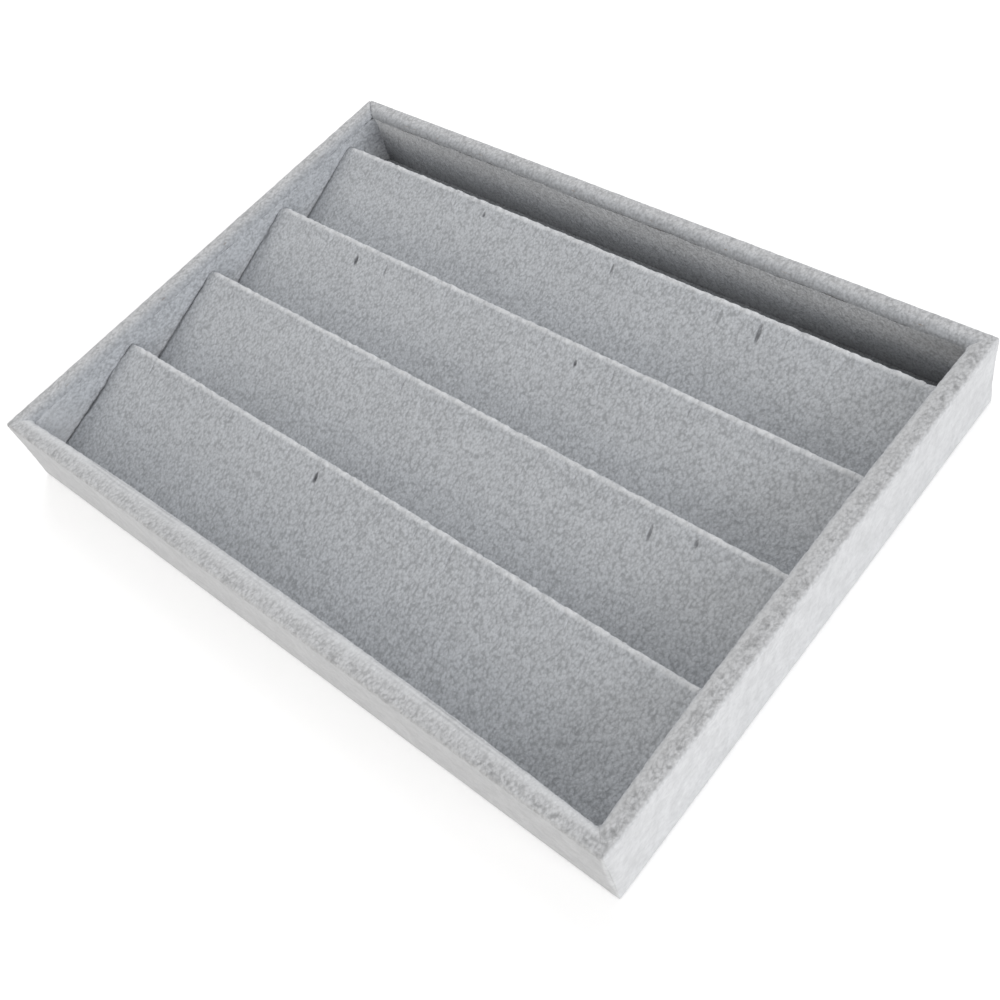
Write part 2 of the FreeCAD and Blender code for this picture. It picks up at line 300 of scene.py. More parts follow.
# Colours of the pile: its tips, its painted light, and its painted shade
# One velvet at three tips: the outer walls' tip is painted lighter and the inner tip painted darker than
# the rim's, as painted light and shade
OUTER_TIP = (0.785, 0.788, 0.795, 1)
RIM_TIP = (0.697, 0.704, 0.719, 1)
INNER_TIP = (0.6, 0.62, 0.649, 1)
PAINTED_LIGHT_TIP = (0.86, 0.87, 0.885, 1)
PAINTED_LIGHT_SHARE = 0.7
PAINTED_SHADE_COLOUR = (0.12, 0.12, 0.13, 1)
# How far the pile is combed along the slope, and how far its curls are stirred
PILE_STRETCH = 0.7
STIR_REACH = 1.2 * MM
# Noises of the pile: scale, detail, roughness and distortion
STIR_NOISE = (950, 2)
FIBRE_NOISE = (1700, 3, 0.6, 0.4)
TUFT_NOISE = (430, 2, 0.55, 1.2)
BRUSHED_NOISE = (30, 3, 0.55, 0.4)
CLOUD_NOISE = (170, 3, 0.6, 0.6)
SPECK_NOISE = (300, 3, 0.6, 0.8)
CURL_SCALE = 850
# What each of these gives to the height of the pile, and how far calm and sleek pile evens that out
CURL_SHARE = 0.35
FIBRE_SHARE = 0.25
TUFT_SHARE = 0.4
CALM_EVENNESS = 0.75
SLEEK_EVENNESS = 0.15
PILE_BUMP = (0.8, 0.8 * MM)
# Tones by the value of the noise, as (value, tone)
GRAIN_TONES = ((0.36, 0.62), (0.49, 0.82), (0.62, 0.98))
EVEN_GRAIN = (0.82, 0.82, 0.82, 1)
BRUSHED_TONES = ((0.3, 0.95), (0.7, 1.0))
CLOUD_TONES = ((0.36, 0.91), (0.64, 1.03))
SPECK_TONES = ((0.5, 1.0), (0.68, 0.68))

# Plain materials: the noise and tones of the grain, those of a second layer over it, and the bump
PLAIN_LOOKS = {
    # Fibres matted in every direction
    "felt": {
        "grain": (900, 6, 0.7, 1.5),
        "tones": ((0.3, 0.16), (0.7, 0.27)),
        "layer": (120, 3, 0.6),
        "layer_tones": ((0.3, 0.85), (0.7, 1.0)),
        "bump": (0.6, 0.4 * MM),
    },
    # Raw and brown, with pale and dark specks
    "fibreboard": {
        "grain": (1100, 5, 0.7),
        "tones": ((0.3, (0.20, 0.12, 0.06)), (0.7, (0.36, 0.24, 0.14))),
        "layer": (60, 3),
        "layer_tones": ((0.3, 0.85), (0.7, 1.0)),
        "bump": (0.3, 0.2 * MM),
    },
    # Recycled pulp, with flecks on a warm grey
    "greyboard": {
        "grain": (700, 5, 0.65, 0.8),
        "tones": ((0.3, (0.20, 0.19, 0.165)), (0.7, (0.30, 0.285, 0.255))),
        "layer": (1900, 2, 0.5),
        "layer_tones": ((0.66, 1.0), (0.72, 0.6)),
        "bump": (0.35, 0.2 * MM),
    },
    # Drawn wire
    "steel": {
        "grain": (2500, 3),
        "tones": ((0.3, 0.42), (0.7, 0.58)),
        "bump": (0.2, 0.05 * MM),
    },
}
# Plain values of each material's shader
SHADERS = {
    "velvet": {
        "Roughness": 0.92,
        "Specular IOR Level": 0.15,
        "Sheen Weight": 0.35,
        "Sheen Roughness": 0.45,
        "Sheen Tint": (0.95, 0.97, 1.0, 1),
    },
    "felt": {"Roughness": 0.95, "Sheen Weight": 0.15},
    "fibreboard": {"Roughness": 0.8},
    "greyboard": {"Roughness": 0.85},
    "steel": {"Metallic": 1.0, "Roughness": 0.35},
    "floor": {"Base Color": (0.86, 0.86, 0.86, 1), "Roughness": 0.9, "Emission Color": WHITE},
}

# Sizes from the frame
OUTER = Vector(CAD_BOX[1])
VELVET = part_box("left_liner")[1].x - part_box("left_liner")[0].x
INNER = Vector((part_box("right_liner")[0].x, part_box("back_liner")[0].y, 0))
WALL = OUTER.x - INNER.x
WRAP_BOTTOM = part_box("front_wall_wrap")[0].z
CORE_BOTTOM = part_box("base_board")[0].z
CORE_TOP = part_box("front_wall_core")[1].z
LINER_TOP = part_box("front_liner")[1].z
FLOOR_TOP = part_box("floor_velvet")[1].z
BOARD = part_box("riser_board_1")[1].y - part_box("riser_board_1")[0].y
TURN_IN_BOTTOM = LINER_TOP + SEAM_GAP


# Shares and noise, the same on every run

def ease(value, start, end):
    """A smooth step from 0 at start to 1 at end."""
    share = np.clip((value - start) / (end - start), 0, 1)
    return share * share * (3 - 2 * share)


def hump(distance, width):
    """A smooth hump: 1 at no distance, and near 0 past two widths."""
    return np.exp(-((distance / width) ** 2))


def blend(first, second, share):
    """A value on the way from the first to the second."""
    return first + (second - first) * share


def cell_value(cell, seed):
    """A repeatable value from 0 to 1 for each whole-number cell."""
    scattered = cell.astype(np.int64).astype(np.uint32) * np.array(CELL_PRIMES, np.uint32)
    mixed = scattered.sum(axis=-1, dtype=np.uint32) + np.uint32(seed * SEED_PRIME % 2**32)
    first_shift, last_shift = np.array(MIX_SHIFTS, np.uint32)
    mixed = (mixed ^ (mixed >> first_shift)) * np.uint32(MIX_PRIME)
    return ((mixed ^ (mixed >> last_shift)) & np.uint32(CELL_TOP)) / CELL_TOP


def noise(points, size, seed):
    """Smooth noise from -1 to 1 over points, with features of about the given size."""
    scaled = points / size
    base = np.floor(scaled)
    part = ease(scaled - base, 0, 1)
    total = np.zeros(points.shape[:-1])
    for corner in np.ndindex(2, 2, 2):
        weight = np.prod(np.where(corner, part, 1 - part), axis=-1)
        total += weight * cell_value(base + np.array(corner), seed)
    return 2 * total - 1


def nap_height(points):
    """How far the pile stands above or below its mean surface."""
    wave = WAVE_DEPTH * noise(points, WAVE_SIZE, seed=1)
    tufts = TUFT_DEPTH * noise(points, TUFT_SIZE, seed=2)
    fibres = FIBRE_DEPTH * noise(points, FIBRE_SIZE, seed=3)
    return wave + tufts + fibres


# Outlines and meshes

def steps(start, end, step):
    """Evenly spaced values from start to just before end."""
    count = max(1, round(abs(end - start) / step))
    return [start + (end - start) * i / count for i in range(count)]


def line(start, end, step):
    """Points on a line, without its end."""
    shares = steps(0.0, 1.0, step / math.dist(start, end))
    return [tuple(Vector(start).lerp(Vector(end), share)) for share in shares]


def arc(centre, radius, start, end, count, stretch=1.0):
    """Points on an arc between two angles in degrees, both ends included, stretched on its first axis."""
    angles = [math.radians(start + (end - start) * i / (count - 1)) for i in range(count)]
    wide = stretch * radius
    return [(centre[0] + wide * math.cos(angle), centre[1] + radius * math.sin(angle)) for angle in angles]


def outline_normals(outline):
    """The outward direction at each point of a loop that runs with its outside on the left."""
    ahead = np.roll(outline, -1, axis=0) - np.roll(outline, 1, axis=0)
    normal = np.stack([-ahead[:, 1], ahead[:, 0]], axis=1)
    return normal / np.linalg.norm(normal, axis=1, keepdims=True)


def face_outward(mesh):
    """Turns the faces of a closed mesh outward."""
    work = bmesh.new()
    work.from_mesh(mesh)
    bmesh.ops.recalc_face_normals(work, faces=work.faces)
    work.to_mesh(mesh)
    work.free()


def loop_mesh(name, points, looks, material):
    """A closed mesh from a loop of points at each station, with an end face at the first and last."""
    stations, around = points.shape[:2]
    index = np.arange(stations * around).reshape(stations, around)
    right = np.roll(index, -1, axis=1)
    quads = np.stack([index[:-1], right[:-1], right[1:], index[1:]], axis=-1).reshape(-1, 4)
    ends = [index[0].tolist(), index[-1].tolist()]
    mesh = bpy.data.meshes.new(name)
    mesh.from_pydata(points.reshape(-1, 3).tolist(), [], quads.tolist() + ends)
    for look, values in looks.items():
        shares = np.broadcast_to(values, (stations, around)).astype(np.float32)
        mesh.attributes.new(look, "FLOAT", "POINT").data.foreach_set("value", shares.ravel())
    face_outward(mesh)
    mesh.shade_smooth()
    for end in mesh.polygons[-2:]:
        end.use_smooth = False
    mesh.materials.append(material)
    return mesh


def add_piece(mesh, body, node):
    """A piece of the scene that rides on a body and stands for a node of the CAD model."""
    piece = bpy.data.objects.new(mesh.name, mesh)
    bpy.context.collection.objects.link(piece)
    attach(piece, body)
    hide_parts(node)
    return piece


# The walls' velvet

class Wall:
    """One wall: the directions along it and out of it, its half length and its distance from the middle."""

    OUT = {"front": (0, -1), "back": (0, 1), "left": (-1, 0), "right": (1, 0)}

    def __init__(self, name):
        out_x, out_y = self.OUT[name]
        self.name = name
        self.out = np.array((out_x, out_y), float)
        self.along = np.array((-out_y, out_x), float)
        self.half, self.far = (OUTER.x, OUTER.y) if out_x == 0 else (OUTER.y, OUTER.x)


def wrap_outline():
    """The wrap's section as (depth from the outer face, height), its pile side first and its back after."""
    top = OUTER.z
    low = WRAP_BOTTOM
    hem = TURN_IN_BOTTOM + HEM_ROUND
    pile = line((WALL, low), (FOOT_ROUND, low), BACK_STEP)
    pile += arc((FOOT_ROUND, low + FOOT_ROUND), FOOT_ROUND, 270, 180, ROUND_POINTS)
    pile += line((0, low + FOOT_ROUND), (0, top - RIM_OUTER_ROUND), WALL_STEP)[1:]
    pile += arc((RIM_OUTER_ROUND, top - RIM_OUTER_ROUND), RIM_OUTER_ROUND, 180, 90, ROUND_POINTS)
    pile += line((RIM_OUTER_ROUND, top), (WALL - RIM_INNER_REACH, top), RIM_STEP)[1:]
    inner_centre = (WALL - RIM_INNER_REACH, top - RIM_INNER_ROUND)
    inner_stretch = RIM_INNER_REACH / RIM_INNER_ROUND
    pile += arc(inner_centre, RIM_INNER_ROUND, 90, 0, INNER_ROUND_POINTS, inner_stretch)
    pile += arc((WALL - HEM_ROUND, hem), HEM_ROUND, 0, -90, ROUND_POINTS)
    inside = WALL - VELVET
    back = [(inside, TURN_IN_BOTTOM), (inside, CORE_TOP), (VELVET, CORE_TOP)]
    back += [(VELVET, CORE_BOTTOM), (WALL, CORE_BOTTOM)]
    return np.array(pile + back), len(pile)


def corner_radius(depth, height):
    """The corners' radius in plan: round outside and inside, tight across the rim and at the foot."""
    swollen = OUTER_CORNER_RADIUS + CORNER_SWELL * (1 - ease(height, *CORNER_SWELL_FALL))
    outside = blend(FOOT_CORNER_RADIUS, swollen, ease(height, *FOOT_CORNER_RISE))
    outer = np.clip(outside - depth, RIM_CORNER_RADIUS, None)
    inner = np.clip((depth - WALL / 2) / (WALL / 2), 0, 1)
    return outer + (INNER_CORNER_RADIUS - RIM_CORNER_RADIUS) * inner**2


class WrapSection:
    """The section that every wrap has, and where each point of it lies."""

    def __init__(self):
        self.outline, self.shown = wrap_outline()
        self.lean = outline_normals(self.outline)
        self.depth, self.height = self.outline.T
        self.radius = corner_radius(self.depth, self.height)
        inner_half = self.depth > WALL / 2
        self.inside = inner_half & (self.height > TURN_IN_BOTTOM - HEM_ROUND)
        self.turned_in = inner_half & (self.height > LINER_TOP)
        self.past_shoulder = self.depth - (OUTER.z - self.height)
        self.on_top = ease(self.past_shoulder, -SHOULDER_FADE, SHOULDER_FADE)
        self.calm = np.where(self.inside, 0.0, 1 - self.on_top)


def wrap_points(wall, section):
    """A wrap's points, their outward directions and their distances from the nearer mitre."""
    reach = wall.half - section.depth - section.radius
    turn = np.radians(np.linspace(45, 0, CORNER_POINTS))
    stations = [(-1, angle, 0.0) for angle in turn]
    stations += [(0, 0.0, share) for share in steps(-1.0, 1.0, WALL_STEP / wall.half)[1:]]
    stations += [(1, angle, 0.0) for angle in turn[::-1]]
    points, normals, seams = [], [], []
    for side, angle, share in stations:
        corner = side * (reach + section.radius * math.sin(angle))
        place = corner if side else reach * share
        distance = wall.far - section.depth - section.radius + section.radius * math.cos(angle)
        plan = place[:, None] * wall.along + distance[:, None] * wall.out
        facing = side * math.sin(angle) * wall.along + math.cos(angle) * wall.out
        points.append(np.column_stack([plan, section.height]))
        normals.append(np.column_stack([-section.lean[:, :1] * facing, section.lean[:, 1]]))
        seams.append(np.abs((wall.half - np.abs(place)) - (wall.far - distance)) / math.sqrt(2))
    return np.array(points), np.array(normals), np.array(seams)


def mitre_groove(wall, seams):
    """How deep each point of a wrap lies in the open mitre, if the wall has it."""
    groove = np.zeros(seams.shape)
    middle = len(seams) // 2
    for side, rows in ((-1, slice(0, middle)), (1, slice(middle, None))):
        corner = np.sign(side * wall.along + wall.out)
        if tuple(corner.astype(int)) == OPEN_MITRE_CORNER:
            groove[rows] = OPEN_MITRE_DEPTH * hump(seams[rows], MITRE_WIDTH)
    return groove


def rim_folds(wall, section, points, seams):
    """How far each point of a wrap lies in a pressed fold, from 0 to 1."""
    wander = RIM_FOLD_WANDER * noise(points, RIM_FOLD_SIZE, seed=8)
    broken = np.clip(RIM_FOLD_MEAN + noise(points, RIM_FOLD_SIZE, seed=9), 0, 1)
    broken = broken * ease(seams, *RIM_FOLD_END)
    folds = np.zeros(seams.shape)
    for fold in RIM_FOLDS.get(wall.name, ()):
        from_fold = WALL - section.depth - fold + wander
        folds += section.inside * broken * hump(from_fold, RIM_FOLD_WIDTH)
    return folds


def rim_lip(wall, section, places):
    """How far each point of a wrap stands in from its wall, by its place along the wall."""
    halfway = np.clip(1 - np.abs(places / (wall.half - WALL)) ** RIM_LIP_EVENNESS, 0, 1)
    upward = ease(section.height, TURN_IN_BOTTOM, OUTER.z - RIM_INNER_ROUND / 2)
    lip = RIM_LIP.get(wall.name, 0.0) * halfway * blend(RIM_LIP_HEM_SHARE, 1, upward)
    lip = lip * ease(section.depth, WALL - RIM_LIP_REACH, WALL) * section.inside
    lip[:, section.shown:] = 0
    return lip


def seam_waver(points, along):
    """How far the seam under the rim strays from its level, by place along the wall."""
    places = np.zeros(points.shape)
    places[..., 0] = points[..., :2] @ along
    return SEAM_WAVER * noise(places, SEAM_WAVER_SIZE, seed=10)


def wrap_looks(wall, section, folds):
    """The looks of a wrap's points, for the velvet's material."""
    depth, inside = section.depth, section.inside
    mottled = ease(section.past_shoulder, *MOTTLE_RISE[wall.name])
    mottled = mottled * (1 - ease(depth, *MOTTLE_FADE[wall.name]))
    # A band of painted light along the rim's inner edge
    painted_pale = inside * hump(WALL - depth - RIM_PAINTED_LIGHT_PLACE, RIM_PAINTED_LIGHT_WIDTH)
    # Painted shade towards the rim's inner edge
    shade = RIM_SHADE[wall.name] * inside * ease(depth, WALL / 2, WALL)
    return {
        # The inner velvet's painted darker tone, as painted shade
        "tone": inside * ease(depth, WALL - TONE_FADE[wall.name], WALL),
        "calm": section.calm,
        "sleek": section.on_top,
        "mottle": RIM_MOTTLE[wall.name] * mottled,
        "painted_light": RIM_PAINTED_LIGHT[wall.name] * painted_pale,
        # Painted shade in the folds' creases, with that towards the inner edge
        "painted_shade": RIM_FOLD_SHADE * folds + shade,
    }


def wall_wrap(wall, section, material):
    """Velvet round one wall: turned under, up the outside, over the rim and a little way in."""
    points, normals, seams = wrap_points(wall, section)
    folds = rim_folds(wall, section, points, seams)
    lip = rim_lip(wall, section, points[..., :2] @ wall.along)
    raised = nap_height(points) * blend(RIM_NAP, OUTER_NAP, section.calm)
    raised -= mitre_groove(wall, seams)
    raised -= RIM_FOLD_DEPTH * folds
    raised[:, section.shown:] = 0
    points += normals * raised[..., None]
    points[..., :2] -= lip[..., None] * wall.out
    points[..., 2] = np.maximum(points[..., 2], WRAP_BOTTOM)
    from_seam = ease(section.height, TURN_IN_BOTTOM, TURN_IN_BOTTOM + SEAM_FADE)
    points[..., 2] += section.turned_in * (1 - from_seam) * seam_waver(points, wall.along)
    mesh = loop_mesh(f"{wall.name}_wrap_velvet", points, wrap_looks(wall, section, folds), material)
    piece = add_piece(mesh, "tray", f"{wall.name}_wall_wrap")


# The liners and the flat sheets

def inner_corner(from_end):
    """How far a side liner rounds into the inner corner, by distance from its end."""
    near = np.clip(1 - from_end / INNER_CORNER_RADIUS, 0, 1)
    return INNER_CORNER_RADIUS * (1 - np.sqrt(1 - near**2))


def liner_places(reach):
    """Stations along a liner, close together where the inner corners are round."""
    turn = INNER_CORNER_RADIUS * (1 - np.sin(np.radians(np.linspace(90, 0, CORNER_POINTS))))
    run = steps(INNER_CORNER_RADIUS - reach, reach - INNER_CORNER_RADIUS, WALL_STEP)[1:]
    return [*(turn - reach), *run, *(reach - turn[::-1])]


def seam_rise(wall, points, height, top, reach):
    """How far a liner's top edge rises into the seam under the rim."""
    mean, spread = SEAM_CLOSED[wall.name]
    closed = np.clip(mean + spread * noise(points[:, :1], SEAM_DASH, seed=4), SEAM_CLOSED_LEAST, 1)
    from_end = reach - np.abs(points[:, :1, :2] @ wall.along)
    closed = np.maximum(closed, 1 - SEAM_END_FALL * ease(from_end, *SEAM_END))
    near_seam = ease(height, top - SEAM_FADE, top)
    return near_seam * (SEAM_GAP * closed + seam_waver(points, wall.along))


def back_ends(x, height):
    """How much painted shade and how much painted light the back liner has towards its ends."""
    left = BACK_END_SHADE["left"] * (1 - ease(x, -INNER.x, BACK_END_REACH["left"] - INNER.x))
    right = BACK_END_SHADE["right"] * ease(x, INNER.x - BACK_END_REACH["right"], INNER.x)
    pale = BACK_END_PAINTED_LIGHT * (1 - ease(x, -INNER.x, BACK_END_REACH["painted_light"] - INNER.x))
    high = ease(height, *BACK_END_LEVELS)
    return left * (1 - high) + right * high, pale * high


def liner_looks(wall, points, height, foot):
    """The looks of a liner's points, for the velvet's material."""
    upward = ease(height, foot, LINER_SHADE_TOP)
    # Painted shade on the liner, by height
    shade = blend(*LINER_SHADE[wall.name], upward)
    beside_trough = ease(points[..., 1], INNER.y - TROUGH_SHADE_REACH, INNER.y)
    lifted = 1 - TROUGH_SHADE_LIFT * ease(height, *TROUGH_SHADE_LEVELS)
    shade = np.maximum(shade, TROUGH_SHADE.get(wall.name, 0.0) * beside_trough * lifted)
    # Painted light at the side liners' front ends
    painted_light = LINER_PAINTED_LIGHT.get(wall.name, 0.0) * (1 - ease(points[..., 1] + INNER.y, 0, LINER_PAINTED_LIGHT_REACH))
    if wall.name == "back":
        end_shade, painted_light = back_ends(points[..., 0], height)
        shade = shade + end_shade
    return {"tone": blend(*LINER_TONE[wall.name], upward), "painted_light": painted_light, "painted_shade": shade}


def wall_liner(wall, material):
    """A velvet strip on one inner wall face, its top edge close under the rim's turned-in edge."""
    low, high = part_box(f"{wall.name}_liner")
    reach = abs(np.dot(wall.along, high[:2]))
    face = min(abs(np.dot(wall.out, low[:2])), abs(np.dot(wall.out, high[:2])))
    pile = line((face, low.z), (face, high.z - HEM_ROUND), WALL_STEP)
    pile += arc((face + HEM_ROUND, high.z - HEM_ROUND), HEM_ROUND, 180, 90, ROUND_POINTS)
    outline = np.array(pile + [(face + VELVET, high.z), (face + VELVET, low.z)])
    height = outline[:, 1]
    shown = len(pile)
    points = []
    for place in liner_places(reach):
        plan = place * wall.along + outline[:, :1] * wall.out
        points.append(np.column_stack([plan, height]))
    points = np.array(points)
    lean = outline_normals(outline)
    normals = np.column_stack([lean[:, :1] * wall.out, lean[:, 1]])
    # The back and the foot stay flat
    raised = nap_height(points)
    raised[:, shown:] = 0
    raised[:, 0] = 0
    if wall.name in SIDE_WALLS:
        rounded = inner_corner(reach - np.abs(points[:, :shown, :2] @ wall.along))
        points[:, :shown, :2] -= rounded[..., None] * wall.out
    points += normals * raised[..., None]
    points[..., 2] += seam_rise(wall, points, height, high.z, reach)
    looks = liner_looks(wall, points, height, low.z)
    mesh = loop_mesh(f"{wall.name}_liner_velvet", points, looks, material)
    piece = add_piece(mesh, "tray", f"{wall.name}_liner")


def flat_sheet(name, node, pile_up, material):
    """A flat sheet with its pile side up or down."""
    low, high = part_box(node)
    pile_z, back_z = (high.z, low.z) if pile_up else (low.z, high.z)
    across = np.array(steps(low.y, high.y, FLOOR_STEP) + [high.y])
    points = []
    for x in steps(low.x, high.x, FLOOR_STEP) + [high.x]:
        pile = np.column_stack([np.full_like(across, x), across, np.full_like(across, pile_z)])
        back = np.array([(x, high.y, back_z), (x, low.y, back_z)])
        points.append(np.concatenate([pile, back]))
    points = np.array(points)
    # The edges and the back stay flat
    raised = nap_height(points)
    raised[:, 0] = 0
    raised[:, len(across) - 1:] = 0
    raised[[0, -1]] = 0
    points[..., 2] += np.minimum(raised, 0) if pile_up else np.maximum(raised, 0)
    # The floor's velvet has the inner velvet's painted darker tone and painted shade
    mesh = loop_mesh(name, points, {"tone": 1.0, "painted_shade": FLOOR_SHADE}, material)
    piece = add_piece(mesh, "tray", node)


# The pleated insert

class Ramp:
    """One sloping panel of the insert, read from its boards."""

    def __init__(self, number):
        low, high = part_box(f"ramp_board_{number}")
        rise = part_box(f"riser_board_{number}")[1].z - FLOOR_TOP
        self.number = number
        self.foot = low.y
        self.ridge = high.y
        self.slope = rise / (self.ridge - self.foot)
        self.angle = math.atan(self.slope)
        self.length = (self.ridge - self.foot) / math.cos(self.angle)

    def mark(self, y):
        """The ramp's number, and the distance down its slope from the ridge to y."""
        return self.number, (self.ridge - y) / math.cos(self.angle)

    def height(self, y, cover):
        """The level at y of a surface that lies a given cover above the board's underside."""
        return FLOOR_TOP + self.slope * (y - self.foot) + cover / math.cos(self.angle)


def insert_outline(ramps):
    """The pleated sheet's section as (y, z), its pile side first, and marks for the pile side.

    Each mark is a pile point's ramp and its distance down from the ridge, or no ramp and no distance."""
    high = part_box("insert_velvet")[1]
    cover = BOARD + VELVET
    pile, marks = [], []

    def add(points, ramp=None):
        for y, z in points:
            pile.append((y, z))
            marks.append(ramp.mark(y) if ramp else (NO_RAMP, 0.0))

    start = (ramps[0].foot, ramps[0].height(ramps[0].foot, cover))
    for ramp, following in zip(ramps, [*ramps[1:], None]):
        glue = ramp.height(ramp.ridge, BOARD)
        tilt = math.degrees(ramp.angle)
        crest = arc((ramp.ridge, glue), VELVET, 90 + tilt, 0, ROUND_POINTS)
        near = tuple(Vector(crest[0]).lerp(Vector(start), SLIT_ROWS / math.dist(crest[0], start)))
        add(line(start, near, RAMP_STEP), ramp)
        add(line(near, crest[0], SLIT_ROW_STEP), ramp)
        add(crest)
        valley = ramp.ridge + VELVET
        foot = following.height(valley, cover) if following else FLOOR_TOP + cover
        add(line(crest[-1], (valley, foot), BACK_STEP)[1:])
        start = (valley, foot)
    add(line(start, (high.y, start[1]), BACK_STEP))
    add([(high.y, start[1])])
    back = [(high.y, FLOOR_TOP + BOARD), (ramps[-1].ridge, FLOOR_TOP + BOARD)]
    for ramp in reversed(ramps):
        back.append((ramp.ridge, ramp.height(ramp.ridge, BOARD)))
        back.append((ramp.foot, ramp.height(ramp.foot, BOARD)))
    return np.array(pile + back), np.array(marks)


def insert_columns(low, high):
    """Stations along the insert, close together at each slit.

    Each is its x, or that of its slit's middle, the slit if any, and its offset from the slit's middle."""
    pitch = (high - low) / (SLITS + 1)
    middles = [low + pitch * (i + 1) for i in range(SLITS)]
    columns = [(low + step, NO_SLIT, 0.0) for step in END_COLUMNS]
    start = low + END_ROUND_WIDTH
    for i, middle in enumerate(middles):
        columns += [(x, NO_SLIT, 0.0) for x in steps(start, middle - SLIT_SPAN, COLUMN_STEP)[1:]]
        columns += [(middle, i, offset) for offset in SLIT_COLUMNS]
        start = middle + SLIT_SPAN
    columns += [(x, NO_SLIT, 0.0) for x in steps(start, high - END_ROUND_WIDTH, COLUMN_STEP)[1:]]
    return columns + [(high - step, NO_SLIT, 0.0) for step in reversed(END_COLUMNS)]


def open_slits(points, columns, marks, ramps):
    """Parts the pile at each slit, and gives how far each point sinks and how much painted shade it has."""
    sunk = np.zeros(points.shape[:2])
    painted_shade = np.zeros(points.shape[:2])
    for column, (x, slit, offset) in enumerate(columns):
        if slit == NO_SLIT or abs(offset) == SLIT_SPAN:
            continue
        for ramp in ramps:
            width, dark, start, length = OPEN_SLITS.get((ramp.number, slit), CLOSED_SLIT)
            rows = np.flatnonzero(marks[:, 0] == ramp.number)
            along = (marks[rows, 1] - start) / length
            inside = (along > 0) & (along < 1)
            rows = rows[inside]
            taper = np.sin(np.pi * along[inside] ** SLIT_SKEW) ** SLIT_BLUNTNESS
            points[column, rows, 0] = x + offset * width * taper
            if abs(offset) < SLIT_WALL:
                sunk[column, rows] = taper * SLIT_DEPTH * dark
                painted_shade[column, rows] = taper * dark
    return sunk, painted_shade


def crest_shares(outline, shown, ramps):
    """How near each outline point is to the crest of a ridge, from 0 to 1."""
    crest = np.zeros(len(outline))
    for ramp in ramps:
        glue = ramp.height(ramp.ridge, BOARD)
        far = np.hypot(outline[:, 0] - ramp.ridge, outline[:, 1] - glue) - VELVET
        crest[:shown] = np.maximum(crest, hump(far, CREST_WIDTH))[:shown]
    return crest


def slit_lean(outline, marks, inward):
    """How far the slits and the pile beside them lean to the right, by distance down from the ridge."""
    far = np.zeros(len(outline))
    far[:len(marks)] = marks[:, 1]
    leaning = SLIT_LEAN_SHARE * far * (1 - ease(far, *SLIT_LEAN_FADE))
    return leaning * ease(inward, 0, SLIT_LEAN_FADE[0])


def end_gap(outline, marks, ramps):
    """How far open the gap beside the insert's left end stands at each outline point, as a share."""
    gap = np.zeros(len(outline))
    for ramp in ramps:
        rows = np.flatnonzero(marks[:, 0] == ramp.number)
        places, shares = zip(*END_GAP_SHARES[ramp.number])
        gap[rows] = np.interp(1 - marks[rows, 1] / ramp.length, places, shares)
    return gap


def insert_shape(ramps, outline, marks):
    """The pleated sheet's points and their looks: nap, crests, parted slits and the insert's ends."""
    shown = len(marks)
    low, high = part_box("insert_velvet")
    columns = insert_columns(low.x, high.x)
    points = np.zeros((len(columns), len(outline), 3))
    points[..., 1:] = outline
    points[..., 0] = np.array([x + offset for x, _, offset in columns])[:, None]
    sunk, painted_shade = open_slits(points, columns, marks, ramps)
    crest = crest_shares(outline, shown, ramps)
    corner = crest * (1 - ease(points[..., 0], low.x, low.x + CORNER_FADE))
    raised = nap_height(points) + CREST_DEPTH * crest * noise(points, CREST_SIZE, seed=5)
    raised = raised * (1 - corner) - CORNER_DROP * corner
    raised[:, shown:] = 0
    raised -= sunk
    inward = np.minimum(points[..., 0] - low.x, high.x - points[..., 0])
    points[..., 0] += slit_lean(outline, marks, inward)
    gap = end_gap(outline, marks, ramps)
    curve = 1 - np.sqrt(1 - np.clip(1 - inward / END_ROUND_WIDTH, 0, 1) ** 2)
    depth = END_ROUND_DEPTH * blend(END_ROUND_LEAST_SHARE, 1, gap)
    raised[:, :shown] -= (depth * curve)[:, :shown]
    # Painted shade on the left end, where the gap stands open
    painted_shade = np.maximum(painted_shade, END_SHADE * gap * ease(inward, END_ROUND_WIDTH, 0))
    end = 1 - ease(points[..., 0], low.x, low.x + END_FADE)
    waver = END_WAVER_SHARE * noise(points, END_SIZE, seed=6)
    points[..., 1:] += outline_normals(outline) * raised[..., None]
    points[..., 0] -= end * END_REACH * np.clip(1 - gap + waver, 0, 1)
    # A painted highlight along the crests, fading at the left corners
    painted_pale = CREST_HIGHLIGHT_MEAN + CREST_HIGHLIGHT_SPREAD * noise(points, CREST_SIZE, seed=7)
    return points, {"tone": 1.0, "painted_light": np.clip(crest * painted_pale - corner, 0, 1), "painted_shade": painted_shade}


def insert_sheet(material):
    """One pleated velvet sheet over every ramp, riser and the back flap, parted at the slits."""
    ramps = [Ramp(number) for number in RAMPS]
    outline, marks = insert_outline(ramps)
    points, looks = insert_shape(ramps, outline, marks)
    mesh = loop_mesh("insert_pleated_velvet", points, looks, material)
    piece = add_piece(mesh, "insert", "insert_velvet")
    boards = [f"ramp_board_{number}" for number in RAMPS]
    boards += [f"riser_board_{number}" for number in RAMPS]


# Materials

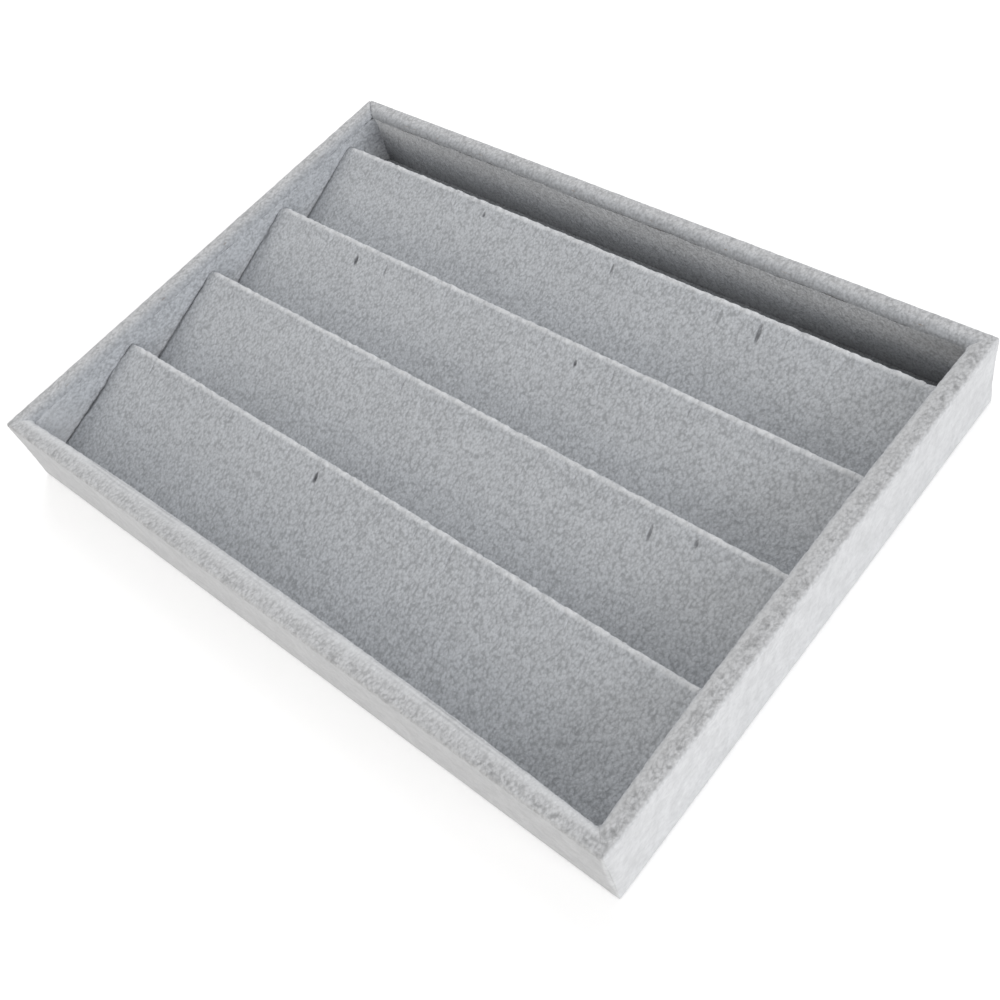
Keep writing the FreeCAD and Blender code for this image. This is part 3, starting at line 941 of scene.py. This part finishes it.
class Nodes:
    """Short calls that add nodes to a tree."""

    def __init__(self, tree):
        self.tree = tree

    def feed(self, socket, value):
        """Joins an output to a socket, or sets the socket's own value."""
        if isinstance(value, bpy.types.NodeSocket):
            self.tree.links.new(value, socket)
        else:
            socket.default_value = value

    def add(self, kind, inputs=None, **settings):
        """A new node with its settings, and with its inputs fed by name or number."""
        node = self.tree.nodes.new(kind)
        for key, value in settings.items():
            setattr(node, key, value)
        for key, value in (inputs or {}).items():
            self.feed(node.inputs[key], value)
        return node

    def math(self, how, first, second):
        return self.add("ShaderNodeMath", {0: first, 1: second}, operation=how).outputs[0]

    def vector(self, how, first, second):
        return self.add("ShaderNodeVectorMath", {0: first, 1: second}, operation=how).outputs[0]

    def mix(self, how, share, first, second):
        """Two colours mixed, which the mix node has on inputs 6 and 7 and on output 2."""
        inputs = {0: share, 6: first, 7: second}
        return self.add("ShaderNodeMix", inputs, data_type="RGBA", blend_type=how).outputs[2]

    def total(self, *parts):
        """The sum of values that each have a share."""
        first, *others = [self.math("MULTIPLY", value, share) for value, share in parts]
        for other in others:
            first = self.math("ADD", first, other)
        return first

    def noise(self, place, scale, detail, roughness=0.5, distortion=0.0, output="Fac"):
        inputs = {"Vector": place, "Scale": scale, "Detail": detail}
        inputs |= {"Roughness": roughness, "Distortion": distortion}
        return self.add("ShaderNodeTexNoise", inputs).outputs[output]

    def ramp(self, value, stops):
        """Colours by value: each stop is a value and its grey tone or colour."""
        node = self.add("ShaderNodeValToRGB", {"Fac": value})
        elements = node.color_ramp.elements
        while len(elements) < len(stops):
            elements.new(0.5)
        for element, (place, tone) in zip(elements, stops):
            element.position = place
            element.color = (*np.broadcast_to(tone, 3), 1)
        return node.outputs["Color"]

    def seen(self):
        """1 for rays from the camera and those off gloss or through glass, and 0 for the others."""
        rays = self.add("ShaderNodeLightPath").outputs
        either = self.math("MAXIMUM", rays["Is Camera Ray"], rays["Is Glossy Ray"])
        return self.math("MAXIMUM", either, rays["Is Transmission Ray"])


class Material(Nodes):
    """A material, with the plain values of its shader set."""

    def __init__(self, name):
        self.made = bpy.data.materials.new(name)
        self.made.use_nodes = True
        super().__init__(self.made.node_tree)
        self.shader = self.tree.nodes["Principled BSDF"]
        for key, value in SHADERS[name].items():
            self.shader.inputs[key].default_value = value

    def place(self):
        return self.add("ShaderNodeTexCoord").outputs["Object"]

    def point(self, look):
        return self.add("ShaderNodeAttribute", attribute_name=look).outputs["Fac"]

    def bump(self, height, strength, distance):
        inputs = {"Height": height, "Strength": strength, "Distance": distance}
        self.feed(self.shader.inputs["Normal"], self.add("ShaderNodeBump", inputs).outputs["Normal"])


def velvet():
    """Short pale grey pile in small curls: light on top of each curl, dark between them."""
    nodes = Material("velvet")
    place = nodes.place()
    combed = nodes.vector("MULTIPLY", place, (1.0, PILE_STRETCH, 1.0))
    stirring = nodes.noise(combed, *STIR_NOISE, output="Color")
    stirred = nodes.vector("MULTIPLY", stirring, (STIR_REACH, STIR_REACH, STIR_REACH))
    curled = nodes.vector("ADD", combed, stirred)
    curls = nodes.add("ShaderNodeTexVoronoi", {"Vector": curled, "Scale": CURL_SCALE})
    crowns = nodes.math("SUBTRACT", 1.0, curls.outputs["Distance"])
    fibres = nodes.noise(combed, *FIBRE_NOISE)
    tufts = nodes.noise(combed, *TUFT_NOISE)
    pile = nodes.total((crowns, CURL_SHARE), (fibres, FIBRE_SHARE), (tufts, TUFT_SHARE))
    calm = nodes.point("calm")
    even = nodes.total((calm, CALM_EVENNESS), (nodes.point("sleek"), SLEEK_EVENNESS))
    grain = nodes.mix("MIX", even, nodes.ramp(pile, GRAIN_TONES), EVEN_GRAIN)
    # One velvet at three tips: the inner tip painted darker as shade, and the outer walls' tip painted
    # lighter as light
    colour = nodes.mix("MIX", nodes.point("tone"), RIM_TIP, INNER_TIP)
    colour = nodes.mix("MIX", calm, colour, OUTER_TIP)
    colour = nodes.mix("MULTIPLY", 1.0, colour, grain)
    brushed = nodes.ramp(nodes.noise(place, *BRUSHED_NOISE), BRUSHED_TONES)
    colour = nodes.mix("MULTIPLY", 1.0, colour, brushed)
    clouds = nodes.ramp(nodes.noise(place, *CLOUD_NOISE), CLOUD_TONES)
    colour = nodes.mix("MULTIPLY", calm, colour, clouds)
    specks = nodes.ramp(nodes.noise(place, *SPECK_NOISE), SPECK_TONES)
    colour = nodes.mix("MULTIPLY", nodes.point("mottle"), colour, specks)
    # Painted light: lighter bands and highlights where light falls
    colour = nodes.mix("MIX", nodes.math("MULTIPLY", nodes.point("painted_light"), PAINTED_LIGHT_SHARE), colour, PAINTED_LIGHT_TIP)
    # Painted shade in creases, slits, gaps, corners and low down
    colour = nodes.mix("MULTIPLY", nodes.point("painted_shade"), colour, PAINTED_SHADE_COLOUR)
    nodes.feed(nodes.shader.inputs["Base Color"], colour)
    nodes.bump(nodes.math("MULTIPLY", pile, nodes.math("SUBTRACT", 1.0, even)), *PILE_BUMP)
    return nodes.made


def plain_material(name):
    """Felt, board or wire: a fine grain, and where the table has one a second layer over it."""
    look = PLAIN_LOOKS[name]
    nodes = Material(name)
    place = nodes.place()
    grain = nodes.noise(place, *look["grain"])
    colour = nodes.ramp(grain, look["tones"])
    if "layer" in look:
        layer = nodes.ramp(nodes.noise(place, *look["layer"]), look["layer_tones"])
        colour = nodes.mix("MULTIPLY", 1.0, colour, layer)
    nodes.feed(nodes.shader.inputs["Base Color"], colour)
    nodes.bump(grain, *look["bump"])
    return nodes.made


def dress_boards(slots):
    """Gives the CAD nodes that stay their own materials, by slot."""
    materials = {slot: plain_material(slot) for slot in slots}
    node_slots = {part["node"]: part["material_slot"] for part in frame["record"]["subparts"]}
    for node, piece in frame["nodes"].items():
        material = materials.get(node_slots[node])
        if material:
            piece.data.materials.clear()
            piece.data.materials.append(material)


# Stage, light and camera

def floor():
    """A plain white floor that shows the tray's soft shadow."""
    bpy.ops.mesh.primitive_plane_add(size=FLOOR_SIZE)
    plane = bpy.context.object
    plane.name = "floor"
    plane.location.z = -FLOOR_DROP
    nodes = Material("floor")
    away = nodes.add("ShaderNodeVectorMath", {0: nodes.place()}, operation="LENGTH").outputs["Value"]
    reach = zip(("From Min", "From Max"), FLOOR_GLOW_REACH)
    strength = zip(("To Min", "To Max"), FLOOR_GLOW)
    glow = nodes.add("ShaderNodeMapRange", {"Value": away, **dict(reach), **dict(strength)}).outputs[0]
    nodes.feed(nodes.shader.inputs["Emission Strength"], nodes.math("MULTIPLY", nodes.seen(), glow))
    plane.data.materials.append(nodes.made)


def world():
    """A grey surround that the camera sees as white."""
    made = bpy.data.worlds.new("studio")
    bpy.context.scene.world = made
    made.use_nodes = True
    nodes = Nodes(made.node_tree)
    # The mix node has its plain numbers on inputs 2 and 3
    pick = nodes.add("ShaderNodeMix", {0: nodes.seen(), 2: WORLD_LIGHT, 3: 1.0}, data_type="FLOAT")
    back = made.node_tree.nodes["Background"]
    nodes.feed(back.inputs["Color"], WHITE)
    nodes.feed(back.inputs["Strength"], pick.outputs[0])


def lamps():
    """Soft boxes that face the tray."""
    for name, place, size, power, colour in LAMPS:
        light = bpy.data.lights.new(name, "AREA")
        light.shape = "SQUARE"
        light.size = size
        light.energy = power
        light.color = colour
        lamp = bpy.data.objects.new(name, light)
        lamp.location = place
        lamp.rotation_euler = (-Vector(place)).to_track_quat("-Z", "Y").to_euler()
        bpy.context.collection.objects.link(lamp)


def camera():
    """The camera, where the photograph was taken from."""
    lens = bpy.data.cameras.new("camera")
    lens.lens = CAMERA_LENS
    lens.sensor_width = CAMERA_SENSOR
    lens.clip_start = CAMERA_NEAR
    seen = bpy.data.objects.new("camera", lens)
    seen.location = CAMERA_PLACE
    seen.rotation_euler = [math.radians(turn) for turn in CAMERA_TURN_DEGREES]
    bpy.context.collection.objects.link(seen)
    bpy.context.scene.camera = seen


camera()
lamps()
world()
floor()
VELVET_LOOK = velvet()
FELT_LOOK = plain_material("felt")
WRAP_SECTION = WrapSection()
for side in WALLS:
    wall_wrap(Wall(side), WRAP_SECTION, VELVET_LOOK)
    wall_liner(Wall(side), VELVET_LOOK)
flat_sheet("floor_pile", "floor_velvet", True, VELVET_LOOK)
flat_sheet("underside_felt", "underside_lining", False, FELT_LOOK)
insert_sheet(VELVET_LOOK)
dress_boards(("fibreboard", "greyboard", "steel"))
bpy.context.scene.view_settings.view_transform = "Standard"
